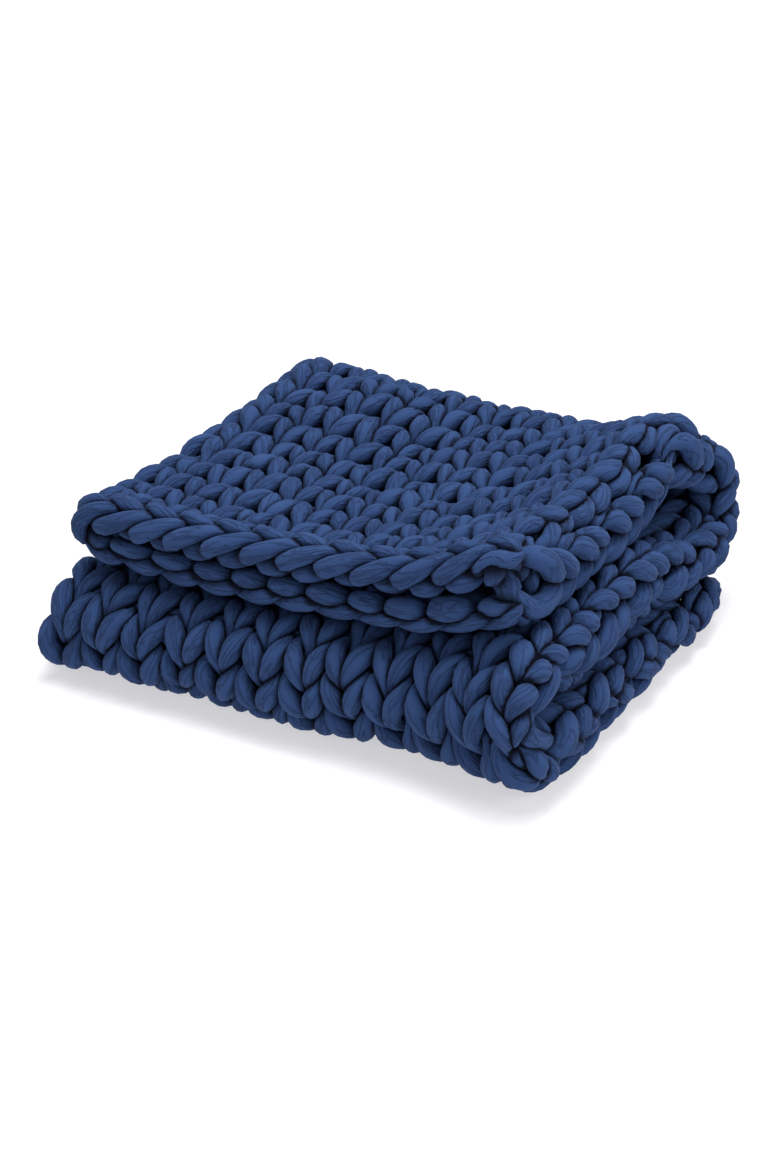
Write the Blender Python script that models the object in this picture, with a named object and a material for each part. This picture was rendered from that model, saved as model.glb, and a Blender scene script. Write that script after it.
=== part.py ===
"""A chunky hand-knitted weighted blanket, folded once along its length and then in three.

The blanket is one sheet. Seen from above it is first folded down its length, so that it is two
layers thick with the fold at the left (-X) and both selvages at the right (+X). The doubled sheet
is then laid in a Z: the cast-on end lies on the surface at the back, the sheet runs forward, turns
over at the front, runs back, turns over in a looser roll at the rear, and comes forward again on
top, where the bound-off edge ends as an open mouth above the front turn.

+X is the width, +Y the depth from front to back, +Z up, in metres. The origin is in the middle of
the footprint, on the surface that the blanket rests on.
"""

import bpy
import numpy as np

# The knitting.
WALES = 24  # columns of stitches across the whole blanket
WALE_PITCH = 0.049

# The pile, seen from the front. The stations run across it, from the fold at the left to the
# selvages at the right. Heights and depths belong to the mid-line of the doubled sheet.
STATION_COLUMNS = (
    "across",  # 0 at the left fold, 1 at the selvages
    "nose",  # distance between two layers in the front turn
    "mouth",  # distance between the two bound-off edges
    "front",  # outside of the front turn
    "rear",  # outside of the rear roll
    "cast_on",  # cast-on end
    "bind_off",  # bound-off end
    "roll",  # radius of the rear roll
    "roll_height",  # height of the rear roll's centre
    "lip",  # height at the bound-off end
    "valley",  # height just behind it
    "middle",  # height halfway back
    "crest",  # height where the sheet goes over into the rear roll
    "rear_layer",  # distance between two layers at the rear
)
STATIONS = (
    (0.00, 0.0280, 0.046, -0.272, 0.275, 0.190, -0.236, 0.037, 0.134, 0.168, 0.165, 0.164, 0.174, 0.032),
    (0.25, 0.0300, 0.046, -0.271, 0.280, 0.190, -0.236, 0.038, 0.139, 0.168, 0.158, 0.159, 0.193, 0.032),
    (0.50, 0.0330, 0.045, -0.267, 0.285, 0.185, -0.236, 0.037, 0.136, 0.176, 0.162, 0.156, 0.174, 0.032),
    (0.75, 0.0365, 0.044, -0.267, 0.288, 0.195, -0.236, 0.040, 0.138, 0.191, 0.180, 0.172, 0.194, 0.031),
    (1.00, 0.0430, 0.044, -0.281, 0.292, 0.215, -0.225, 0.046, 0.139, 0.237, 0.226, 0.212, 0.232, 0.029),
)
VALLEY_BEHIND_EDGE = 0.085
MIDDLE_BEHIND_EDGE = 0.240
LAYERS_UNDER_TOP = 5.3  # height of the top mid-line over the layer pitch: five, and a little air
ROLL_TURN = np.radians(76)  # the roll is an arc from this far under its centre's height to this far over
ROLL_RUN_IN = 1.8  # straight sheet ends this many roll radii before the roll's centre
ROLL_RUN_OUT = 1.2

# The two sides of the pile lean in towards the top.
LEFT_FOOT = -0.283
RIGHT_FOOT = 0.312
LEAN_LEFT = 0.26
LEAN_RIGHT = 0.10
TAPER = 0.25  # how fast the top narrows from the left on its way back
TAPER_FROM_HEIGHT = 0.10
TAPER_START = -0.22
TAPER_LENGTH = 0.30

# The cloth as a solid.
FILL = 0.90  # share of the distance between two layers that is cloth
MOST_THICKNESS = 0.036
PRESSED_FLAT = 0.0035  # the underside is this much of its unevenness pressed flat
SET_ACROSS = -0.0103  # puts the pile's box over the origin
SET_BACK = -0.0105

# The faces.
TURN_SPANS = 8
FLAT_SPANS = 2  # faces between two points of a flat stretch
FOLD_SPANS = 4  # faces from the middle of the left fold to its end
ACROSS_SPANS = 11

YARN_BLUE = (0.021, 0.043, 0.107, 1.0)
YARN_ROUGHNESS = 0.92


def through(position, known, values):
    """A smooth curve through values at the known positions, read at the given positions."""
    known = np.asarray(known, float)
    values = np.asarray(values, float)
    slopes = np.gradient(values, known, axis=0)
    i = np.clip(np.searchsorted(known, position, side="right") - 1, 0, len(known) - 2)
    gap = (known[i + 1] - known[i])[:, None]
    u = (np.asarray(position) - known[i])[:, None] / gap
    return (
        (2 * u**3 - 3 * u**2 + 1) * values[i]
        + (u**3 - 2 * u**2 + u) * gap * slopes[i]
        + (3 * u**2 - 2 * u**3) * values[i + 1]
        + (u**3 - u**2) * gap * slopes[i + 1]
    )


def station(across):
    """The pile's measures at one place across it, by name."""
    table = np.array(STATIONS)
    found = through(np.array([across]), table[:, 0], table)[0]
    return dict(zip(STATION_COLUMNS, found))


def mid_line_points(across):
    """Rows of (y, z, layer pitch) down the doubled sheet, and the number of faces after each row."""
    at = station(across)
    nose = at["nose"]
    valley, middle = at["valley"] / LAYERS_UNDER_TOP, at["middle"] / LAYERS_UNDER_TOP
    rear = at["rear_layer"]
    near, far = (valley + middle) / 2, (middle + rear) / 2
    edge = at["bind_off"]
    y_valley, y_middle = edge + VALLEY_BEHIND_EDGE, edge + MIDDLE_BEHIND_EDGE
    y_nose = at["front"] + 2 * nose
    y_roll = at["rear"] - rear - at["roll"]
    y_in, y_out = y_roll - ROLL_RUN_IN * at["roll"], y_roll - ROLL_RUN_OUT * at["roll"]
    y_near = (y_valley + y_middle) / 2

    second = [(y_valley + 0.02, valley), (y_near, near), (y_middle, middle)]
    second += [((y_middle + y_in) / 2, far), (y_in, rear)]
    lowest = [(at["cast_on"], rear)] + second[::-1]
    turn = np.linspace(0, np.pi, TURN_SPANS + 1)
    roll = np.linspace(-ROLL_TURN, ROLL_TURN, TURN_SPANS + 1)

    points = [(y, pitch, pitch) for y, pitch in lowest]
    points += [(y_nose - nose * np.sin(a), nose * (2 - np.cos(a)), nose) for a in turn]
    points += [(y, 3 * pitch, pitch) for y, pitch in second]
    points += [
        (y_roll + at["roll"] * np.cos(a), at["roll_height"] + at["roll"] * np.sin(a), rear)
        for a in roll
    ]
    points += [
        (y_out, at["crest"], rear),
        ((y_out + y_middle) / 2, (at["crest"] + at["middle"]) / 2, far),
        (y_middle, at["middle"], middle),
        (y_near, (at["middle"] + at["valley"]) / 2, near),
        (y_valley, at["valley"], 0.8 * valley + 0.2 * at["mouth"]),
        (edge, at["lip"], at["mouth"]),
    ]
    spans = [FLAT_SPANS] * len(lowest) + [1] * TURN_SPANS + [FLAT_SPANS] * (len(second) + 1)
    spans += [1] * TURN_SPANS + [FLAT_SPANS] * 6
    return np.array(points), spans


def mid_line(across):
    """(y, z, layer pitch) and the unit normal at each face edge down the doubled sheet."""
    points, spans = mid_line_points(across)
    steps = np.hypot(*(points[1:, :2] - points[:-1, :2]).T)
    known = np.concatenate([[0], np.cumsum(steps)])
    places = [
        known[i] + (known[i + 1] - known[i]) * k / spans[i]
        for i in range(len(known) - 1)
        for k in range(spans[i])
    ]
    places = np.array(places + [known[-1]])
    nudge = 1e-4
    ahead = through(np.minimum(places + nudge, known[-1]), known, points)
    behind = through(np.maximum(places - nudge, 0), known, points)
    along = (ahead - behind)[:, :2]
    along /= np.linalg.norm(along, axis=1)[:, None]
    normal = np.stack([-along[:, 1], along[:, 0]], axis=1)
    return through(places, known, points), normal


def columns():
    """(angle round the left fold, share of the flat width, side) from one selvage to the other."""
    turn = [(angle, 0.0) for angle in np.linspace(0, np.pi / 2, FOLD_SPANS + 1)]
    flat = [(np.pi / 2, share) for share in np.linspace(0, 1, ACROSS_SPANS + 1)[1:]]
    one_side = turn + flat
    return [(a, u, 1) for a, u in reversed(one_side)] + [(a, u, -1) for a, u in one_side[1:]]


def cloth_faces():
    """The points of the cloth's knit side and of its purl side, each as columns x rows x 3."""
    knit, purl = [], []
    width = WALES / 2 * WALE_PITCH
    for angle, share, side in columns():
        line, normal = mid_line(share)
        half_pitch = line[:, 2] / 2
        half_cloth = np.minimum(FILL * half_pitch, MOST_THICKNESS / 2)
        height = line[:, 1]
        taper = TAPER * np.maximum(height - TAPER_FROM_HEIGHT, 0)
        left = LEFT_FOOT + LEAN_LEFT * height
        left += taper * np.clip((line[:, 0] - TAPER_START) / TAPER_LENGTH, 0, 1)
        right = RIGHT_FOOT - LEAN_RIGHT * height
        span = width - (np.pi / 2 - 1) * half_pitch
        inside = half_pitch * (1 - np.cos(angle)) + share * (span - half_pitch)
        for face, out in ((knit, half_cloth), (purl, -half_cloth)):
            x = left + (right - left) * (inside - out * np.cos(angle)) / span
            off = side * (half_pitch + out) * np.sin(angle)
            y = line[:, 0] + normal[:, 0] * off
            z = np.maximum(height + normal[:, 1] * off - PRESSED_FLAT, 0)
            face.append(np.stack([x + SET_ACROSS, y + SET_BACK, z], axis=1))
    return np.array(knit), np.array(purl)


def yarn_cloth():
    material = bpy.data.materials.new("blue_cotton_yarn")
    material.use_nodes = True
    shader = material.node_tree.nodes["Principled BSDF"]
    shader.inputs["Base Color"].default_value = YARN_BLUE
    shader.inputs["Roughness"].default_value = YARN_ROUGHNESS
    shader.inputs["Metallic"].default_value = 0.0
    return material


def knit_blanket():
    knit, purl = cloth_faces()
    across, down = knit.shape[:2]
    points = np.concatenate([knit.reshape(-1, 3), purl.reshape(-1, 3)])
    back = across * down
    faces = []
    for i in range(across - 1):
        for j in range(down - 1):
            a, b = i * down + j, (i + 1) * down + j
            faces.append((a, a + 1, b + 1, b))
            faces.append((back + a, back + b, back + b + 1, back + a + 1))
    rim = [(i * down, (i + 1) * down) for i in range(across - 1)]
    rim += [((across - 1) * down + j, (across - 1) * down + j + 1) for j in range(down - 1)]
    rim += [((i + 1) * down + down - 1, i * down + down - 1) for i in range(across - 1)]
    rim += [(j + 1, j) for j in range(down - 1)]
    faces += [(a, b, back + b, back + a) for a, b in rim]

    mesh = bpy.data.meshes.new("knit_blanket")
    mesh.from_pydata(points.tolist(), [], faces)
    mesh.materials.append(yarn_cloth())
    mesh.shade_smooth()
    mesh.validate()
    blanket = bpy.data.objects.new("knit_blanket", mesh)
    bpy.context.scene.collection.objects.link(blanket)
    return blanket


for old in list(bpy.data.objects):
    bpy.data.objects.remove(old, do_unlink=True)
knit_blanket()
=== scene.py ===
import bpy
import numpy as np
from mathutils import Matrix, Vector


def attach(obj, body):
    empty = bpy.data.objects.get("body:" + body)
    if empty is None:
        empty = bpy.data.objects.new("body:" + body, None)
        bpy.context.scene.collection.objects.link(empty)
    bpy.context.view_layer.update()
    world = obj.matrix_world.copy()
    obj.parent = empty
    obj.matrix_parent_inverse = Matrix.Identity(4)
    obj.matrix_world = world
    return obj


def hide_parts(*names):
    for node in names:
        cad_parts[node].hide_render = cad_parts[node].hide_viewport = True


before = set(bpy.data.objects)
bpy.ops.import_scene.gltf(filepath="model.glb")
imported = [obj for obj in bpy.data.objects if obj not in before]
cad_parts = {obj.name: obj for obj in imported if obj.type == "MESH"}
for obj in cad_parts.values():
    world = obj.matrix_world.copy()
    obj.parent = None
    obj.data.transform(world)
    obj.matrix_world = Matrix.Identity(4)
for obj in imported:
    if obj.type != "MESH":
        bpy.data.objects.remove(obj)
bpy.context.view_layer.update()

# A chunky blanket, hand-knitted from one fat yarn and folded. First the folded layers are laid out,
# then the yarn's line is led through every stitch on them, and last the yarn gets its skin, which
# is pressed flat where two strands meet. Lengths are in metres where no comment says otherwise.

# ---------------------------------------------------------------- the folded pile
WALES = 24  # columns of stitches across the whole blanket
WALE_PITCH = 0.049
ROWS = 37
WIDTH = WALES / 2 * WALE_PITCH  # of the folded blanket, laid flat

STATION_COLUMNS = (
    "across",  # 0 at the left fold, 1 at the selvages
    "nose",  # distance between two layers in the front turn
    "mouth",  # distance between the two bound-off edges
    "front",  # outside of the front turn
    "rear",  # outside of the rear roll
    "cast_on",  # cast-on end
    "bind_off",  # bound-off end
    "roll",  # radius of the rear roll
    "roll_height",  # height of the rear roll's centre
    "lip",  # height at the bound-off end
    "valley",  # height just behind it
    "middle",  # height halfway back
    "crest",  # height where the sheet goes over into the rear roll
    "rear_layer",  # distance between two layers at the rear
)
STATIONS = (
    (0.00, 0.0280, 0.040, -0.283, 0.275, 0.190, -0.236, 0.037, 0.134, 0.168, 0.165, 0.164, 0.174, 0.032),
    (0.25, 0.0300, 0.045, -0.279, 0.280, 0.190, -0.236, 0.034, 0.127, 0.168, 0.158, 0.159, 0.176, 0.032),
    (0.50, 0.0330, 0.045, -0.273, 0.285, 0.185, -0.236, 0.032, 0.124, 0.176, 0.162, 0.156, 0.160, 0.032),
    (0.75, 0.0365, 0.044, -0.269, 0.288, 0.195, -0.236, 0.037, 0.131, 0.191, 0.180, 0.172, 0.185, 0.031),
    (1.00, 0.0455, 0.044, -0.307, 0.294, 0.200, -0.225, 0.051, 0.133, 0.236, 0.225, 0.212, 0.237, 0.029),
)
VALLEY_BEHIND_EDGE = 0.085
MIDDLE_BEHIND_EDGE = 0.240
FLAT_BEHIND_VALLEY = 0.02  # the lower layers run straight from this far behind the valley
MOUTH_AT_VALLEY = 0.2  # share of the mouth's gap that the two top layers still have there
LAYERS_UNDER_TOP = 5.3  # height of the top mid-line over the layer pitch: five, and a little air
TURN_SPANS = 8  # points round a turn, less one
ROLL_TURN = np.radians(76)  # the roll is an arc from this far under its centre's height to this far over
ROLL_RUN_IN = 1.8  # straight sheet ends this many roll radii before the roll's centre
ROLL_RUN_OUT = 1.2

# The two sides of the pile lean in towards the top.
LEFT_FOOT = -0.283
RIGHT_FOOT = 0.317
LEAN_LEFT = 0.26
LEAN_RIGHT = 0.16
TAPER = 0.25  # how fast the top narrows from the left on its way back
TAPER_FROM_HEIGHT = 0.10
TAPER_START = -0.22
TAPER_LENGTH = 0.30
SET_ACROSS = -0.0103  # puts the pile over the origin
SET_BACK = -0.0105

# The layers' surface, worked out on a grid of points.
GRID = 10  # surface points for each stitch, each way
SPARE_WALES = 1  # that the grid goes on past each selvage
SPARE_ROWS = 1.5  # and past each end
IN_LAST_CELL = 1.001  # places past the grid are read this many points from its end
EDGE_RUN = 0.08  # straight sheet past each end, for those rows
LINE_POINTS = 700
SLIP_WIDTH = 0.12  # past this from the fold the two layers' rows have slipped fully
LEAST_ROW = 0.15  # a row inside a tight turn keeps this share of its length

# The selvages curl towards the purl side: the upper layer of a panel curls down, and the lower one
# curls up outside it. Each row is the curl's radius, its length up to the last wale's edge, its most
# turn, and how far outside the pile's side it stands.
CURLS = np.array((
    (0.0150, 0.027, np.radians(125), 0.002),  # upper layer
    (0.0195, 0.045, np.radians(118), 0.003),  # lower layer
    (0.0210, 0.043, np.radians(105), -0.009),  # the front turn
    (0.0180, 0.036, np.radians(95), -0.002),  # the rear roll
    (0.0180, 0.041, np.radians(118), -0.032),  # upper layer of the top panel
    (0.0255, 0.058, np.radians(136), -0.008),  # lower layer of the top panel
))
REAR_ROW = 18  # the front turn is before this row and the rear roll after it
TOP_ROWS = (25, 29)  # between these the sheet goes over into the top panel
ON_TOP_ROW = 26  # past this row the upper layer is on top of the pile, in the open air
EDGE_TIGHT = 0.55  # share by which the curls are tighter at the bound-off edge
TIGHT_RUN = 1.8  # rows over which they get so

# Towards the selvages, the inner layer of the roll and of the two panels beside it fills the gap
# between those panels. Past the mid-line it goes this much farther: along the middle panel from the
# front turn to the roll, in the roll, and along the top panel from the roll to the bound-off edge.
MIDDLE_SAG = (0.007, 0.013, 0.016, 0.018, 0.015)
ROLL_SAG = 0.011
TOP_SAG = (0.028, 0.028, 0.025, 0.021, 0.014, 0.002)
TOP_RISE = (0.005, 0.010, 0.012, 0.011, 0.008, 0.000)  # the same for the top panel's upper layer
SAG_FROM = 0.62  # share of the way across
SAG_CURVE = 1.5

FULL_LAYER = 0.0205  # half the distance between two layers that aren't pressed
LEAST_PRESS = 0.55
INSET = 0.005  # a layer that faces the open air lies this much farther in
LIFT_RUN = 1.4  # rows over which the open mouth's two edges lift
EDGE_LIFT = {-1.0: (0.006, 0.017), 1.0: (0.003, -0.008)}  # by side: at the fold and at the selvage
EDGE_BULGE = 0.009  # that the mouth's left end stands out by

# ---------------------------------------------------------------- the yarn
YARN_RADIUS = 0.0106
SWING = 0.0082  # how far the yarn's line swings to each side of the layer's middle
SPREAD = 0.3  # how much wider the yarn gets as it is pressed flat between layers
FIRST_ROW = -0.45
ROW_STEP = 0.980  # of the sheet's own rows, so that the last heads end at the sheet's end
ROW_SLANT = 0.65  # rows that the outer layer's rows rise by on their way across the front turn
SLANT_ROW = 13.0
SLANT_RUN = 11.0

# One stitch's line, from the strand that joins it to its neighbour up to its head. The other half
# mirrors it. Across is a share of the wale, up is in rows, out is a share of SWING, and wide and
# tall are shares of the yarn's radius along the layer and out of it.
HALF_STITCH = (
    (0.000, -0.04, -1.00, 0.92, 0.92),
    (0.230, -0.02, -1.00, 0.86, 0.90),
    (0.400, 0.20, -0.60, 0.76, 0.84),
    (0.432, 0.48, 0.20, 0.84, 0.92),
    (0.345, 0.80, 0.95, 1.02, 1.04),
    (0.205, 1.12, 1.10, 1.06, 1.08),
    (0.090, 1.42, 0.45, 0.88, 0.94),
    (0.100, 1.64, -0.50, 0.76, 0.84),
    (0.280, 1.82, -1.00, 0.86, 0.90),
    (0.500, 1.82, -1.10, 0.92, 0.92),
)
LEG = (0.3, 1.6)  # rows up, between the joining strand and the head
HEAD_FROM = 1.7  # rows up
YARN_START = 4  # the yarn begins at this point of its first stitch

# Hand knitting is uneven. Each stitch leans by up to this share of a wale, is taller by these rows,
# stands out by this share of SWING, and is fatter by this share.
STITCH_LEAN = 0.10
STITCH_LIFT = 0.15
STITCH_DEPTH = 0.24
STITCH_GIRTH = 0.13
# And the work wanders slowly: the seed of each wander, how far it goes, and over how many stitches.
WALE_WANDER = (11, 0.15, 2.6)
ROW_WANDER = (12, 0.21, 2.3)
OUT_WANDER = (13, 0.38, 2.0)
CHAIN_WALE_WANDER = (21, 0.05, 1.7)
CHAIN_ROW_WANDER = (22, 0.05, 1.9)

# The last row's heads, which the chain is drawn through, are fatter and lie deeper.
LAST_HEAD_GIRTH = 1.22
LAST_HEAD_DEPTH = 0.20

# The hook at the end of a row, round the selvage and up into the next row: wales past the edge,
# rows up, out, wide, tall.
HOOK = (
    (0.05, 0.06, -0.70, 0.95, 0.92),
    (0.12, 0.26, -0.30, 1.02, 0.98),
    (0.15, 0.50, -0.15, 1.05, 1.00),
    (0.12, 0.74, -0.30, 1.02, 0.98),
    (0.05, 0.94, -0.70, 0.95, 0.92),
)
HOOK_DROP = 0.05  # rows that a hook starts below its row
HOOK_PULL = 0.13  # rows that the two rows of a hook are pulled together by
HOOK_PULL_RUN = 1.3  # wales from the selvage where that pull begins

# The bound-off edge is a chain, one link to a wale, each drawn through the one before. Along is
# in wales, and aside and outward are shares of the link's half width and depth. Aside is towards
# the open mouth. Below 0 it is the link's leg on the knit side, which is drawn tighter.
LINK_HALF_WIDTH = 0.0140
LINK_DEPTH = (0.0080, 0.0048)
LINK = (
    (0.02, 0.00, -1.20, 0.82, 0.82),
    (0.20, 0.12, -0.50, 0.66, 0.74),
    (0.50, -0.08, 0.40, 0.72, 0.78),
    (0.85, -0.50, 0.80, 0.84, 0.86),
    (1.20, -0.90, 0.80, 0.82, 0.84),
    (1.50, -1.08, 0.25, 0.72, 0.76),
    (1.68, -0.70, -0.70, 0.74, 0.76),
    (1.74, 0.10, -1.05, 0.80, 0.80),
    (1.76, 0.80, -0.55, 0.88, 0.86),
    (1.60, 1.28, 0.45, 0.96, 0.94),
    (1.25, 1.02, 1.10, 0.94, 0.96),
    (0.85, 0.42, 1.25, 0.84, 0.90),
    (0.45, -0.20, 0.85, 0.68, 0.76),
    (0.26, -0.35, -0.15, 0.60, 0.68),
    (0.48, 0.00, -1.20, 0.80, 0.80),
)
LINKS = 23  # the lower layer's last wale curls under and has none
LINKS_START = 0.45  # wales past the upper layer's selvage

# Past the wale where its layer curls away the chain runs straight out. The first wale is for the
# upper layer, the second for the lower.
CHAIN_FLAT = (11.3, 10.9)
CHAIN_SHORT = 0.22  # the links there are drawn together to this share of their pitch
CHAIN_RISE = 0.18  # and the lower layer's go up by this share of it

# The chain's girth and where it lies: rows short of the sheet's end, how far out of the layer, and
# how far the links are tipped forward over the edge. The first is for the upper layer.
CHAIN_GIRTH = (1.0, 0.84)
CHAIN_BACK = (0.42, 0.62)
CHAIN_OFF = (0.004, 0.001)
CHAIN_TILT = (np.radians(52), np.radians(12))
CHAIN_LOOK = 0.2  # rows before and after, between which the sheet's direction is measured

# The yarn's skin.
LINE_STEPS = 6  # steps of the smooth line between two of its points
SPACING = 0.0060  # between two rings of the skin
SIDES = 14
REACH = 0.029  # strands farther apart than this don't touch
SAME_RUN = 0.020  # nearer than this along the yarn, it doesn't press on itself
NO_LIMIT = 1.0  # room in a direction where no strand is near
LEAST_AHEAD = 1e-5
LEAST_APART = 1e-6
RINGS_AT_ONCE = 4000
ROUNDING = 5.0  # how sharply the skin turns from round to flat
SWELL_ROUNDS = 3  # where it is pressed the yarn swells the other way, worked out in rounds
SWELL_EVENING = 3
SWELL = (0.9, 1.13)  # the least and the most
CREASE = 0.040  # share of the yarn's radius that lengthwise creases rise and fall by
CREASE_LENGTH = 0.032
CREASE_WAVES = (2, 3, 4, 5)  # round the yarn
CREASE_TWIST = 2.2  # radians that they wander round it, each way
CREASE_SEED = 31

# The lengths that the yarn is cut into, by the row where each begins.
PIECES = (
    ("bottom_panel_back", 0),
    ("bottom_panel_front", 6),
    ("front_turn", 11),
    ("middle_panel", 17),
    ("rear_roll", 24),
    ("top_panel", 30),
)
CHAIN = "bound_off_chain"


def through(position, known, values):
    """A smooth curve through values at the known positions, read at the given positions."""
    known = np.asarray(known, float)
    values = np.asarray(values, float)
    slopes = np.gradient(values, known, axis=0)
    i = np.clip(np.searchsorted(known, position, side="right") - 1, 0, len(known) - 2)
    gap = (known[i + 1] - known[i])[:, None]
    u = (np.asarray(position) - known[i])[:, None] / gap
    return (
        (2 * u**3 - 3 * u**2 + 1) * values[i]
        + (u**3 - 2 * u**2 + u) * gap * slopes[i]
        + (3 * u**2 - 2 * u**3) * values[i + 1]
        + (u**3 - u**2) * gap * slopes[i + 1]
    )


# ---------------------------------------------------------------- laying out the layers
def station(across):
    """The pile's measures at one place across it, by name."""
    table = np.array(STATIONS)
    found = through(np.array([across]), table[:, 0], table)[0]
    return dict(zip(STATION_COLUMNS, found))


def mid_line_points(across):
    """Rows of (y, z, layer pitch, sag of the inner layer, rise of the outer one) down the sheet."""
    at = station(across)
    nose, roll = at["nose"], at["roll"]
    valley, middle = at["valley"] / LAYERS_UNDER_TOP, at["middle"] / LAYERS_UNDER_TOP
    rear = at["rear_layer"]
    near, far = (valley + middle) / 2, (middle + rear) / 2
    edge = at["bind_off"]
    y_valley, y_middle = edge + VALLEY_BEHIND_EDGE, edge + MIDDLE_BEHIND_EDGE
    y_near = (y_valley + y_middle) / 2
    y_nose = at["front"] + 2 * nose
    y_roll = at["rear"] - rear - roll
    y_in, y_out = y_roll - ROLL_RUN_IN * roll, y_roll - ROLL_RUN_OUT * roll

    flat = [
        (y_valley + FLAT_BEHIND_VALLEY, valley),
        (y_near, near),
        (y_middle, middle),
        ((y_middle + y_in) / 2, far),
        (y_in, rear),
    ]
    top = [
        (y_out, at["crest"], rear),
        ((y_out + y_middle) / 2, (at["crest"] + at["middle"]) / 2, far),
        (y_middle, at["middle"], middle),
        (y_near, (at["middle"] + at["valley"]) / 2, near),
        (y_valley, at["valley"], (1 - MOUTH_AT_VALLEY) * valley + MOUTH_AT_VALLEY * at["mouth"]),
        (edge, at["lip"], at["mouth"]),
    ]
    points = [(y, pitch, pitch, 0.0, 0.0) for y, pitch in [(at["cast_on"], rear)] + flat[::-1]]
    for a in np.linspace(0, np.pi, TURN_SPANS + 1):
        points.append((y_nose - nose * np.sin(a), nose * (2 - np.cos(a)), nose, 0.0, 0.0))
    points += [(y, 3 * pitch, pitch, sag, 0.0) for (y, pitch), sag in zip(flat, MIDDLE_SAG)]
    for a in np.linspace(-ROLL_TURN, ROLL_TURN, TURN_SPANS + 1):
        z = at["roll_height"] + roll * np.sin(a)
        points.append((y_roll + roll * np.cos(a), z, rear, ROLL_SAG, 0.0))
    points += [(*point, sag, rise) for point, sag, rise in zip(top, TOP_SAG, TOP_RISE)]
    return np.array(points)


def mid_line(across):
    """The mid-line's measures down the sheet and past its ends, and the number of points past each."""
    points = mid_line_points(across)
    steps = np.hypot(*(points[1:, :2] - points[:-1, :2]).T)
    known = np.concatenate([[0], np.cumsum(steps)])
    places = np.linspace(0, known[-1], LINE_POINTS)
    line = through(places, known, points)
    extra = int(EDGE_RUN / places[1])
    first = line[0] - (line[1] - line[0]) * np.arange(extra, 0, -1)[:, None]
    last = line[-1] + (line[-1] - line[-2]) * np.arange(1, extra + 1)[:, None]
    first[:, 2:] = line[0, 2:]
    last[:, 2:] = line[-1, 2:]
    return np.concatenate([first, line, last]), extra


def measures_at(rows, line, extra, slip):
    """The mid-line's five measures, its normal and its slope, at the given rows of stitches.

    The rows are even along the layer itself, which lies slip half pitches out of the mid-line, and
    so they are farther apart outside a turn than inside it.
    """
    along = np.gradient(line[:, :2], axis=0)
    length = np.linalg.norm(along, axis=1)
    along /= length[:, None]
    normal = np.stack([-along[:, 1], along[:, 0]], axis=1)
    turn = -np.gradient(np.unwrap(np.arctan2(along[:, 1], along[:, 0])))
    grown = np.cumsum(np.maximum(length + slip * line[:, 2] / 2 * turn, LEAST_ROW * length))
    start, end = grown[extra], grown[-extra - 1]
    row_of = (grown - start) / (end - start) * ROWS
    at = np.interp(rows, row_of, np.arange(len(line)))
    measures = np.column_stack([line, normal, along[:, 1]])
    return [np.interp(at, np.arange(len(line)), measure) for measure in measures.T]


def selvage_curl(rows, side, normal_z):
    """The curl's radius, run, most turn and reach at each row, blended from the kinds of layer."""
    upper, lower = np.clip(side * normal_z, 0, 1), np.clip(-side * normal_z, 0, 1)
    top = np.clip((rows - TOP_ROWS[0]) / (TOP_ROWS[1] - TOP_ROWS[0]), 0, 1)
    turned, rear_half = 1 - upper - lower, rows > REAR_ROW
    kinds = [upper * (1 - top), lower * (1 - top), turned * ~rear_half, turned * rear_half]
    kinds += [upper * top, lower * top]
    curl, run, most_turn, reach = np.array(kinds).T.dot(CURLS).T
    curl *= 1 - EDGE_TIGHT * np.clip((rows - ROWS + TIGHT_RUN) / TIGHT_RUN, 0, 1)
    return curl, run, most_turn, reach


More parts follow.
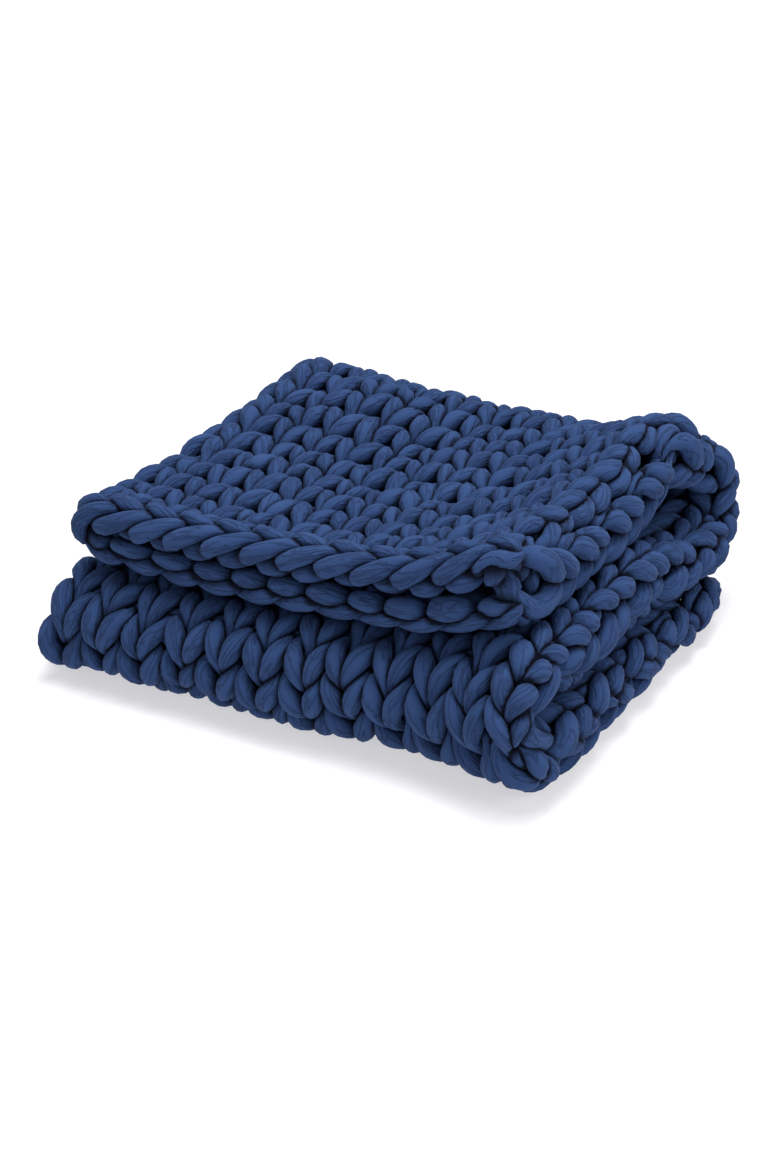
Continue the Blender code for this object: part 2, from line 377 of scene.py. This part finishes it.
def column_of_places(wale, rows):
    """Places, outward normals and room for the yarn down one line of the knitted layer.

    A wale below 0 is on the layer that is outside in the front turn, and above 0 on the other.
    """
    side = 1.0 if wale < 0 else -1.0
    from_fold = abs(wale) * WALE_PITCH
    share = np.clip((from_fold - FULL_LAYER) / (WIDTH - FULL_LAYER), 0, 1)
    slip = np.clip(from_fold / SLIP_WIDTH, 0, 1) * side
    y, height, pitch, sag, rise, normal_y, normal_z, rising = measures_at(rows, *mid_line(share), slip)
    half = pitch / 2

    # Round the left fold, across the flat, and round the curled selvage.
    curl, run, most_turn, reach = selvage_curl(rows, side, normal_z)
    flat_end = WIDTH - run
    angle = np.minimum(from_fold / half, np.pi / 2)
    round_edge = np.clip((from_fold - flat_end) / curl, 0, None)
    curled = np.minimum(round_edge, most_turn)
    beyond = (round_edge - curled) * curl
    flat = half + flat_end - np.pi / 2 * half
    inside = half * (1 - np.cos(angle)) + np.clip(from_fold - np.pi / 2 * half, 0, None)
    inside = np.where(round_edge > 0, flat + curl * np.sin(curled) + beyond * np.cos(curled), inside)
    off = half * np.sin(angle) - curl * (1 - np.cos(curled)) - beyond * np.sin(curled)
    near_selvage = np.clip((share - SAG_FROM) / (1 - SAG_FROM), 0, 1) ** SAG_CURVE
    off = side * (off + near_selvage * (sag if side > 0 else rise))
    normal_x = -np.cos(angle) + np.sin(curled)
    upright = side * np.sin(angle) * np.cos(curled)

    taper = TAPER * np.maximum(height - TAPER_FROM_HEIGHT, 0)
    left = LEFT_FOOT + LEAN_LEFT * height
    left += taper * np.clip((y - TAPER_START) / TAPER_LENGTH, 0, 1)
    right = RIGHT_FOOT - LEAN_RIGHT * height + reach
    x = left + (right - left) * inside / (flat + curl)
    place = np.stack([x + SET_ACROSS, y + normal_y * off + SET_BACK, height + normal_z * off], axis=1)
    out = np.stack([normal_x, normal_y * upright, normal_z * upright], axis=1)
    out /= np.linalg.norm(out, axis=1)[:, None]

    # Where a layer lies on another it is pressed, and where it faces the open air it isn't.
    pressed = np.clip(half / FULL_LAYER, LEAST_PRESS, 1)
    open_air = np.abs(rising) if side > 0 else (rows > ON_TOP_ROW).astype(float)
    open_air = np.clip(np.maximum(open_air, np.abs(normal_x)), 0, 1)
    edge = np.clip((rows - ROWS + LIFT_RUN) / LIFT_RUN, 0, 1) ** 2
    lift = edge * (EDGE_LIFT[side][0] * (1 - share) + EDGE_LIFT[side][1] * share) * np.sin(angle)
    lift += EDGE_BULGE * edge * (1 - np.sin(angle))
    place += out * (lift - INSET * open_air)[:, None]
    return place, out, pressed, pressed + (1 - pressed) * open_air


def lay_out_layers():
    """The layers' surface as grids over the wales and rows."""
    last_wale, last_row = WALES / 2 + SPARE_WALES, ROWS + SPARE_ROWS
    wales = np.linspace(-last_wale, last_wale, int(2 * last_wale) * GRID + 1)
    rows = np.linspace(-SPARE_ROWS, last_row, int(last_row + SPARE_ROWS) * GRID + 1)
    grids = zip(*(column_of_places(wale, rows) for wale in wales))
    place, out, room_in, room_out = (np.array(grid) for grid in grids)
    return {
        "wales": wales,
        "rows": rows,
        "place": place,
        "out": out,
        "room_in": room_in,
        "room_out": room_out,
    }


def on_layer(layers, wale, row):
    """The place, outward normal and the two room shares at these wales and rows."""
    i = (wale - layers["wales"][0]) * GRID
    j = (row - layers["rows"][0]) * GRID
    i = np.clip(i, 0, len(layers["wales"]) - IN_LAST_CELL)
    j = np.clip(j, 0, len(layers["rows"]) - IN_LAST_CELL)
    i0, j0 = i.astype(int), j.astype(int)
    u, v = i - i0, j - j0
    found = []
    for name in ("place", "out", "room_in", "room_out"):
        grid = layers[name]
        a, b = (u, v) if grid.ndim == 2 else (u[:, None], v[:, None])
        found.append(
            (grid[i0, j0] * (1 - a) + grid[i0 + 1, j0] * a) * (1 - b)
            + (grid[i0, j0 + 1] * (1 - a) + grid[i0 + 1, j0 + 1] * a) * b
        )
    return found


# ---------------------------------------------------------------- knitting
def wander(how, wale, row):
    """A smooth field of random numbers over the knitting, at these wales and rows."""
    seed, far, grain = how
    i, j = (wale + WALES) / grain, (row + WALES) / grain
    i0, j0 = np.floor(i).astype(int), np.floor(j).astype(int)
    u, v = i - i0, j - j0
    u, v = u * u * (3 - 2 * u), v * v * (3 - 2 * v)
    grid = np.random.default_rng(seed).uniform(-1, 1, (i0.max() + 2, j0.max() + 2))
    return far * (
        (grid[i0, j0] * (1 - u) + grid[i0 + 1, j0] * u) * (1 - v)
        + (grid[i0, j0 + 1] * (1 - u) + grid[i0 + 1, j0 + 1] * u) * v
    )


def row_points(row):
    """Control points of one row of stitches: wale, row, out, wide, tall. Odd rows run back."""
    half = np.array(HALF_STITCH)
    other = half[-2::-1].copy()
    other[:, 0] = 1 - other[:, 0]
    stitch = np.concatenate([half, other])
    points = []
    for wale in range(-WALES // 2, WALES // 2):
        lean, lift, depth, girth = np.random.default_rng([row, wale + WALES]).uniform(-1, 1, 4)
        made = stitch[: -1 if wale < WALES // 2 - 1 else None].copy()
        made[:, 0] += wale + STITCH_LEAN * lean * np.sin(made[:, 0] * np.pi)
        made[:, 1] += STITCH_LIFT * lift * (made[:, 1] > LEG[0]) * (made[:, 1] < LEG[1])
        made[:, 2] += STITCH_DEPTH * depth * (made[:, 2] > 0)
        made[:, 3:] *= 1 + STITCH_GIRTH * girth
        if row == ROWS - 1:
            made[made[:, 1] > HEAD_FROM, 3:] *= LAST_HEAD_GIRTH
            made[made[:, 1] > HEAD_FROM, 2] -= LAST_HEAD_DEPTH
        made[:, 1] += row
        hooked = 1 if (wale > 0) == (row % 2 == 0) else -1
        made[:, 1] += hooked * HOOK_PULL * np.clip(np.abs(made[:, 0]) - WALES / 2 + HOOK_PULL_RUN, 0, 1)
        points.append(made)
    points = np.concatenate(points)
    return points if row % 2 == 0 else points[::-1]


def hook_points(row):
    """Control points of the hook from this row up into the next."""
    way = 1 if row % 2 == 0 else -1
    hook = np.array(HOOK)
    hook[:, 0] = way * (WALES / 2 + hook[:, 0])
    hook[:, 1] += row - HOOK_DROP
    return hook


def rows_of_yarn(layers):
    """Centre line, outward way and half widths at the control points, and where each row starts."""
    points, starts = [], []
    for row in range(ROWS):
        starts.append(sum(len(p) for p in points))
        points.append(row_points(row)[1 if row else YARN_START :])
        if row < ROWS - 1:
            points.append(hook_points(row))
    wale, row, out, wide, tall = np.concatenate(points).T
    wale = wale + wander(WALE_WANDER, wale, row)
    row = row + wander(ROW_WANDER, wale, row)
    out = out + wander(OUT_WANDER, wale, row)
    slant = np.clip(-wale / (WALES / 2), 0, 1) ** 2
    slant *= np.clip(1 - np.abs(row - SLANT_ROW) / SLANT_RUN, 0, 1)
    down = FIRST_ROW + ROW_STEP * row + ROW_SLANT * slant
    place, normal, room_in, room_out = on_layer(layers, wale, down)
    room = np.where(out < 0, room_in, room_out)
    centre = place + normal * (out * SWING * room)[:, None]
    outer = np.clip(0.5 + out / 2, 0, 1)
    room = room_in * (1 - outer) + room_out * outer
    wide = YARN_RADIUS * wide * (1 + SPREAD * (1 - room))
    tall = YARN_RADIUS * tall * room
    return np.column_stack([centre, normal, wide, tall]), starts


def chain_of_yarn(layers):
    """The bound-off chain: centre line, outward way and half widths at the control points."""
    points = []
    for k in range(LINKS):
        for along, aside, outward, wide, tall in LINK:
            points.append((WALES / 2 + LINKS_START - k - along, aside, outward, wide, tall))
    wale, aside, outward, wide, tall = np.array(points).T
    wale = wale + wander(CHAIN_WALE_WANDER, wale, 0 * wale)
    upper = np.clip(0.5 + wale, 0, 1)

    def blend(pair):
        return pair[0] * upper + pair[1] * (1 - upper)

    row = ROWS - blend(CHAIN_BACK) + wander(CHAIN_ROW_WANDER, wale, 0 * wale)
    on_flat = np.clip(wale, -CHAIN_FLAT[1], CHAIN_FLAT[0])
    place, normal, _, _ = on_layer(layers, on_flat, row)
    place[:, 0] += np.abs(wale - on_flat) * WALE_PITCH * CHAIN_SHORT
    place[:, 2] += np.maximum(on_flat - wale, 0) * WALE_PITCH * CHAIN_RISE
    ahead, _, _, _ = on_layer(layers, on_flat, row + CHAIN_LOOK)
    behind, _, _, _ = on_layer(layers, on_flat, row - CHAIN_LOOK)
    down = ahead - behind
    down /= np.linalg.norm(down, axis=1)[:, None]
    tilt = blend(CHAIN_TILT)[:, None]
    side_way = down * np.cos(tilt) - normal * np.sin(tilt)
    out_way = down * np.sin(tilt) + normal * np.cos(tilt)
    centre = place + side_way * (aside * LINK_HALF_WIDTH)[:, None]
    centre += normal * blend(CHAIN_OFF)[:, None] + out_way * (outward * blend(LINK_DEPTH))[:, None]
    girth = YARN_RADIUS * blend(CHAIN_GIRTH)
    return np.column_stack([centre, out_way, girth * wide, girth * tall])


# ---------------------------------------------------------------- the yarn's skin
def even_rings(controls):
    """Rings SPACING apart along a smooth line through the control points, and each control's ring."""
    at = np.arange((len(controls) - 1) * LINE_STEPS + 1) / LINE_STEPS
    line = through(at, np.arange(len(controls)), controls)
    steps = np.linalg.norm(np.diff(line[:, :3], axis=0), axis=1)
    length = np.concatenate([[0], np.cumsum(steps)])
    count = int(length[-1] / SPACING) + 1
    places = np.linspace(0, length[-1], count)
    rings = np.stack([np.interp(places, length, column) for column in line.T], axis=1)
    ring_of = np.round(length[::LINE_STEPS] / length[-1] * (count - 1)).astype(int)
    return rings, places, ring_of


def near_pairs(centre, run):
    """Pairs of rings on strands near enough to touch, in order of the first of each pair."""
    cell = np.floor(centre / REACH).astype(np.int64)
    cell -= cell.min(axis=0) - 1
    size = cell.max(axis=0) + 2
    key = (cell[:, 0] * size[1] + cell[:, 1]) * size[2] + cell[:, 2]
    order = np.argsort(key, kind="stable")
    in_order = key[order]
    pairs = []
    for step in np.ndindex(3, 3, 3):
        other = key + ((step[0] - 1) * size[1] + step[1] - 1) * size[2] + step[2] - 1
        start = np.searchsorted(in_order, other, "left")
        count = np.searchsorted(in_order, other, "right") - start
        one = np.repeat(np.arange(len(centre)), count)
        ramp = np.arange(count.sum()) - np.repeat(np.cumsum(count) - count, count)
        two = order[np.repeat(start, count) + ramp]
        near = np.abs(run[one] - run[two]) > SAME_RUN
        one, two = one[near], two[near]
        near = ((centre[one] - centre[two]) ** 2).sum(axis=1) < REACH**2
        pairs.append(np.stack([one[near], two[near]]))
    pairs = np.concatenate(pairs, axis=1)
    return pairs[:, np.argsort(pairs[0], kind="stable")]


def room_between(pairs, centre, sideways, up, girth, angles):
    """How far each ring's skin can go in each direction before it meets the next strand's."""
    room = np.full((len(centre), len(angles)), NO_LIMIT)
    one, two = pairs
    starts = np.searchsorted(one, np.arange(len(centre) + 1))
    for first in range(0, len(centre), RINGS_AT_ONCE):
        low, high = starts[first], starts[min(first + RINGS_AT_ONCE, len(centre))]
        if low == high:
            continue
        a, b = one[low:high], two[low:high]
        gap = centre[b] - centre[a]
        apart = (gap**2).sum(axis=1) + girth[a] ** 2 - girth[b] ** 2
        across = (gap * sideways[a]).sum(axis=1)[:, None] * np.cos(angles)
        towards = across + (gap * up[a]).sum(axis=1)[:, None] * np.sin(angles)
        limit = np.maximum(apart, LEAST_APART)[:, None] / (2 * np.maximum(towards, LEAST_AHEAD))
        limit = np.where(towards > LEAST_AHEAD, limit, NO_LIMIT)
        rings, begin = np.unique(a, return_index=True)
        room[rings] = np.minimum(room[rings], np.minimum.reduceat(limit, begin, axis=0))
    return room


def smooth_along(values, times):
    """The values, each evened out with its two neighbours this many times."""
    for _ in range(times):
        padded = np.concatenate([values[:1], values, values[-1:]])
        values = (padded[:-2] + 2 * padded[1:-1] + padded[2:]) / 4
    return values


def creases(run, angles):
    """Lengthwise folds in the stuffed tube, as a share of its radius, that come and go along it."""
    rng = np.random.default_rng(CREASE_SEED)
    at = run / CREASE_LENGTH
    count = int(at[-1]) + 3
    fold = np.zeros((len(run), len(angles)))
    for waves in CREASE_WAVES:
        turn = through(at, np.arange(count), rng.uniform(-CREASE_TWIST, CREASE_TWIST, (count, 1)))
        deep = through(at, np.arange(count), rng.uniform(0, 1, (count, 1)))
        fold += deep * np.cos(waves * angles + turn)
    return 1 + CREASE * fold


def skin_of(rings, run):
    """The yarn's skin: round where it is free, flattened where it presses on the next strand."""
    centre, outward, wide, tall = rings[:, :3], rings[:, 3:6], rings[:, 6], rings[:, 7]
    along = np.gradient(centre, axis=0)
    along /= np.linalg.norm(along, axis=1)[:, None]
    sideways = np.cross(along, outward)
    sideways /= np.linalg.norm(sideways, axis=1)[:, None]
    up = np.cross(sideways, along)
    angles = (np.arange(SIDES) + 0.5) / SIDES * 2 * np.pi - np.pi / 2
    pairs = near_pairs(centre, run)
    free = (wide * tall)[:, None] / np.hypot(
        tall[:, None] * np.cos(angles), wide[:, None] * np.sin(angles)
    )
    free *= creases(run, angles)
    girth = np.sqrt(wide * tall)
    swell = np.ones(len(centre))
    for _ in range(SWELL_ROUNDS):
        own = free * swell[:, None]
        room = room_between(pairs, centre, sideways, up, girth * swell, angles)
        radius = (own**-ROUNDING + room**-ROUNDING) ** (-1 / ROUNDING)
        kept = np.sqrt((radius**2).mean(axis=1)) / np.sqrt((free**2).mean(axis=1))
        swell = np.clip(swell * smooth_along(1 / kept, SWELL_EVENING), *SWELL)
    radius = smooth_along(radius, 1)
    # How far the skin is flattened; the material paints shade between strands by it.
    pressed = np.clip(1 - radius / (free * swell[:, None]), 0, 1)
    spokes = (
        sideways[:, None, :] * np.cos(angles)[None, :, None]
        + up[:, None, :] * np.sin(angles)[None, :, None]
    )
    skin = centre[:, None, :] + spokes * radius[:, :, None]
    skin[:, :, 2] = np.maximum(skin[:, :, 2], 0)
    return skin, pressed


def skin_faces(rings):
    """The skin's faces between its rings, and one at each end."""
    a = np.arange(rings - 1)[:, None] * SIDES
    i = np.arange(SIDES)[None, :]
    j = (i + 1) % SIDES
    quads = np.stack([a + i, a + j, a + SIDES + j, a + SIDES + i], axis=-1).reshape(-1, 4)
    start, end = list(range(SIDES))[::-1], list(range((rings - 1) * SIDES, rings * SIDES))
    return quads.tolist() + [start, end]


def skin_map(run):
    """The skin's map, in metres round and along the yarn, for each corner of each face."""
    around = 2 * np.pi * YARN_RADIUS
    side = np.arange(SIDES)
    at = np.zeros((len(run) - 1, SIDES, 4, 2))
    at[:, :, (0, 3), 0] = (side / SIDES * around)[None, :, None]
    at[:, :, (1, 2), 0] = ((side + 1) / SIDES * around)[None, :, None]
    at[:, :, (0, 1), 1] = run[:-1, None, None]
    at[:, :, (2, 3), 1] = run[1:, None, None]
    ends = np.zeros((2 * SIDES, 2))
    return np.concatenate([at.reshape(-1, 2), ends])


def piece_of_yarn(name, skin, run, pressed, material):
    """One closed length of yarn, with its map and how far each point is pressed in."""
    mesh = bpy.data.meshes.new(name)
    mesh.from_pydata(skin.reshape(-1, 3).tolist(), [], skin_faces(len(skin)))
    mesh.uv_layers.new(name="yarn").data.foreach_set("uv", skin_map(run).ravel())
    # The material paints near-black shade where this is high.
    squeeze = mesh.attributes.new("pressed", "FLOAT", "POINT")
    squeeze.data.foreach_set("value", pressed.ravel())
    mesh.materials.append(material)
    mesh.shade_smooth()
    piece = bpy.data.objects.new(name, mesh)
    bpy.context.scene.collection.objects.link(piece)
    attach(piece, "root")
    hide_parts("knit_blanket")


def knit(material):
    """The whole yarn, knitted and bound off in one line, and cut into its pieces."""
    layers = lay_out_layers()
    controls, starts = rows_of_yarn(layers)
    chain_start = len(controls)
    controls = np.concatenate([controls, chain_of_yarn(layers)])
    rings, run, ring_of = even_rings(controls)
    skin, pressed = skin_of(rings, run)
    names = [name for name, _ in PIECES] + [CHAIN]
    cuts = [ring_of[starts[row]] for _, row in PIECES] + [ring_of[chain_start], len(rings) - 1]
    for name, start, end in zip(names, cuts[:-1], cuts[1:]):
        length = slice(start, end + 1)
        piece_of_yarn(name, skin[length], run[length], pressed[length], material)


# ---------------------------------------------------------------- materials
RIB = (0.0024, 0.0040)  # spacing and length
CREASE_MARK = (0.010, 0.050)  # spacing and length
DYE = ("#243a64", "#304976")
# Painted shade: the dark colour that crease lines are pulled towards.
PAINTED_CREASE_SHADE = "#132242"
# Painted shade: the near-black colour where two strands press together.
PAINTED_SHADE_BETWEEN_STRANDS = "#060c20"
FUZZ = "#8aa4d6"


def linear(hex_colour):
    """An sRGB hex colour as the linear one that a shader takes."""
    parts = [int(hex_colour[i : i + 2], 16) / 255 for i in (1, 3, 5)]
    return tuple(p / 12.92 if p <= 0.04045 else ((p + 0.055) / 1.055) ** 2.4 for p in parts) + (1.0,)


def add_node(material, kind, settings=None, **links):
    """Adds a node: settings by name, and for each input either a value or another node's output.

    An input is given by its name, or by its number after an underscore.
    """
    node = material.node_tree.nodes.new(kind)
    for name, value in (settings or {}).items():
        setattr(node, name, value)
    for name, value in links.items():
        socket = node.inputs[int(name[1:]) if name[1:].isdigit() else name.replace("_", " ")]
        if isinstance(value, bpy.types.NodeSocket):
            material.node_tree.links.new(value, socket)
        else:
            socket.default_value = value
    return node


def cotton_jersey():
    """Stuffed tube of cotton jersey: matt, finely ribbed along its length, creased where it bends.

    The eye gets a soft, dull blue without a highlight, with shade painted into the colour along the
    creases and, near black, where two strands press together.
    """
    material = bpy.data.materials.new("cotton_jersey")
    material.use_nodes = True
    shader = material.node_tree.nodes["Principled BSDF"]
    yarn = add_node(material, "ShaderNodeUVMap", {"uv_map": "yarn"}).outputs["UV"]

    # Jersey ribs are about 1.2 mm apart; drawn at 2.4 mm, or the picture couldn't show them.
    rib_places = add_node(
        material, "ShaderNodeMapping", Vector=yarn, Scale=(1 / RIB[0], 1 / RIB[1], 1.0)
    )
    ribs = add_node(
        material, "ShaderNodeTexNoise", {"noise_dimensions": "2D"},
        Vector=rib_places.outputs[0], Scale=1.0, Detail=2.0, Roughness=0.6,
    )
    # Creases run along the tube, some 10 mm apart and 50 mm long.
    crease_places = add_node(
        material, "ShaderNodeMapping", Vector=yarn, Scale=(1 / CREASE_MARK[0], 1 / CREASE_MARK[1], 1.0)
    )
    folds = add_node(
        material, "ShaderNodeTexNoise", {"noise_dimensions": "2D"},
        Vector=crease_places.outputs[0], Scale=1.0, Detail=3.0, Roughness=0.55, Distortion=0.35,
    )
    ridge = add_node(material, "ShaderNodeMath", {"operation": "SUBTRACT"}, _0=folds.outputs[0], _1=0.5)
    sharp = add_node(material, "ShaderNodeMath", {"operation": "ABSOLUTE"}, _0=ridge.outputs[0])
    groove = add_node(
        material, "ShaderNodeMapRange", {"interpolation_type": "SMOOTHSTEP"},
        Value=sharp.outputs[0], From_Min=0.0, From_Max=0.07, To_Min=0.0, To_Max=1.0,
    )
    creased = add_node(
        material, "ShaderNodeBump", Height=groove.outputs[0], Strength=0.7, Distance=0.0014,
    )
    ribbed = add_node(
        material, "ShaderNodeBump", Height=ribs.outputs[0], Strength=0.75, Distance=0.0007,
        Normal=creased.outputs[0],
    )
    material.node_tree.links.new(ribbed.outputs[0], shader.inputs["Normal"])

    # The dye takes a little unevenly, in patches some 70 mm across. Shade is painted into the colour
    # along the creases and, near black, where strands press together.
    patch_places = add_node(material, "ShaderNodeTexCoord").outputs["Object"]
    patches = add_node(
        material, "ShaderNodeTexNoise", Vector=patch_places, Scale=14.0, Detail=2.0, Roughness=0.5
    )
    dye = add_node(
        material, "ShaderNodeMix", {"data_type": "RGBA"}, _0=patches.outputs[0],
        _6=linear(DYE[0]), _7=linear(DYE[1]),
    )
    # Painted shade: along each crease line the colour goes up to 48% of the way to the dark crease
    # colour.
    crease_shade_share = add_node(
        material, "ShaderNodeMapRange", Value=groove.outputs[0],
        From_Min=0.0, From_Max=1.0, To_Min=0.48, To_Max=0.0,
    )
    dye_and_crease_shade = add_node(
        material, "ShaderNodeMix", {"data_type": "RGBA"}, _0=crease_shade_share.outputs[0],
        _6=dye.outputs[2], _7=linear(PAINTED_CREASE_SHADE),
    )
    # Painted shade: the colour goes near black where the skin is pressed flat against the next strand.
    pressed = add_node(material, "ShaderNodeAttribute", {"attribute_name": "pressed"})
    shade_between_strands = add_node(
        material, "ShaderNodeMapRange", {"interpolation_type": "SMOOTHSTEP"},
        Value=pressed.outputs["Fac"], From_Min=0.04, From_Max=0.27, To_Min=0.0, To_Max=0.94,
    )
    shaded = add_node(
        material, "ShaderNodeMix", {"data_type": "RGBA"}, _0=shade_between_strands.outputs[0],
        _6=dye_and_crease_shade.outputs[2], _7=linear(PAINTED_SHADE_BETWEEN_STRANDS),
    )
    material.node_tree.links.new(shaded.outputs[2], shader.inputs["Base Color"])
    shader.inputs["Roughness"].default_value = 0.92
    shader.inputs["Specular IOR Level"].default_value = 0.2
    shader.inputs["Sheen Weight"].default_value = 0.04
    shader.inputs["Sheen Roughness"].default_value = 0.5
    shader.inputs["Sheen Tint"].default_value = linear(FUZZ)
    return material


def pale_floor_and_glow(name, glow):
    """A pale, matt floor with painted light: it glows by itself, with no lamp, and the glow keeps the
    shadow on it pale.
    """
    material = bpy.data.materials.new(name)
    material.use_nodes = True
    shader = material.node_tree.nodes["Principled BSDF"]
    shader.inputs["Base Color"].default_value = linear("#b4b4b6")
    shader.inputs["Roughness"].default_value = 0.9
    shader.inputs["Emission Color"].default_value = linear("#fdfcff")
    shader.inputs["Emission Strength"].default_value = glow
    return material


knit(cotton_jersey())

# ---------------------------------------------------------------- studio
FLOOR_REACH = 40.0
UNDER_PILE = ((-0.250, 0.250), (-0.170, 0.155))  # the part of the floor without the painted glow, across and back
# Painted light: the floor's own glow, which keeps the pile's shadow on it pale.
FLOOR_GLOW = 0.55
SOFT_LIGHTS = (
    ("top_light", (0.0, 0.4, 3.0), 54),
    ("side_light", (2.5, -0.2, 1.5), 27),
    ("front_light", (0.0, -2.7, 1.7), 14),
)
SOFT_LIGHT_SIZE = 1.4
SOFT_LIGHT_AIM = (0.0, 0.0, 0.1)
SKY_PLACE = (0.0, 0.2, 3.0)
SKY_AIM = (0.0, 0.0, 0.0)
SKY_POWER = 1.9
SKY_ANGLE = np.radians(40)
WALL_LIGHT = 0.26


def studio_floor():
    """Nine faces, of which the middle one, under the pile, has no painted glow."""
    across, back = ((-FLOOR_REACH, *inner, FLOOR_REACH) for inner in UNDER_PILE)
    places = [(x, y, 0) for y in back for x in across]
    line = len(across)
    corners = [line * j + i for j in range(line - 1) for i in range(line - 1)]
    mesh = bpy.data.meshes.new("floor")
    mesh.from_pydata(places, [], [(a, a + 1, a + line + 1, a + line) for a in corners])
    # Painted light: the floor glows everywhere except under the pile.
    mesh.materials.append(pale_floor_and_glow("floor_painted_glow", FLOOR_GLOW))
    mesh.materials.append(pale_floor_and_glow("floor_under_pile_no_glow", 0.0))
    mesh.polygons[len(corners) // 2].material_index = 1
    floor = bpy.data.objects.new("floor", mesh)
    bpy.context.scene.collection.objects.link(floor)


def lamp(name, kind, place, aim, power):
    """A lamp turned from its place to its aim; gives back its settings."""
    settings = bpy.data.lights.new(name, kind)
    settings.energy = power
    stand = bpy.data.objects.new(name, settings)
    stand.location = place
    stand.rotation_euler = (Vector(aim) - Vector(place)).to_track_quat("-Z", "Y").to_euler()
    bpy.context.scene.collection.objects.link(stand)
    return settings


studio_floor()
for name, place, power in SOFT_LIGHTS:
    lamp(name, "AREA", place, SOFT_LIGHT_AIM, power).size = SOFT_LIGHT_SIZE
lamp("sky_light", "SUN", SKY_PLACE, SKY_AIM, SKY_POWER).angle = SKY_ANGLE

world = bpy.data.worlds.new("studio")
world.use_nodes = True
walls = world.node_tree.nodes["Background"]
walls.inputs["Color"].default_value = (1, 1, 1, 1)
walls.inputs["Strength"].default_value = WALL_LIGHT
bpy.context.scene.world = world

# ---------------------------------------------------------------- camera
AZIMUTH = np.radians(29.0)
ELEVATION = np.radians(27.5)
DISTANCE = 2.80
AIM = (SET_ACROSS, SET_BACK, 0.1165)
FRAME = (780, 1170)  # pixels
AXIS = (384, 535)  # the pixel that the lens's axis goes through
FOCUS = 2548.0  # pixels
SENSOR = 36.0  # millimetres

towards_camera = Vector((
    np.sin(AZIMUTH) * np.cos(ELEVATION),
    -np.cos(AZIMUTH) * np.cos(ELEVATION),
    np.sin(ELEVATION),
))
camera_data = bpy.data.cameras.new("camera")
camera_data.sensor_width = SENSOR
camera_data.lens = FOCUS / FRAME[1] * SENSOR
camera_data.shift_x = (FRAME[0] / 2 - AXIS[0]) / FRAME[1]
camera_data.shift_y = -(FRAME[1] / 2 - AXIS[1]) / FRAME[1]
camera = bpy.data.objects.new("camera", camera_data)
camera.location = Vector(AIM) + towards_camera * DISTANCE
camera.rotation_mode = "QUATERNION"
camera.rotation_quaternion = (-towards_camera).to_track_quat("-Z", "Y")
bpy.context.scene.collection.objects.link(camera)
bpy.context.scene.camera = camera
bpy.context.scene.view_settings.view_transform = "Standard"
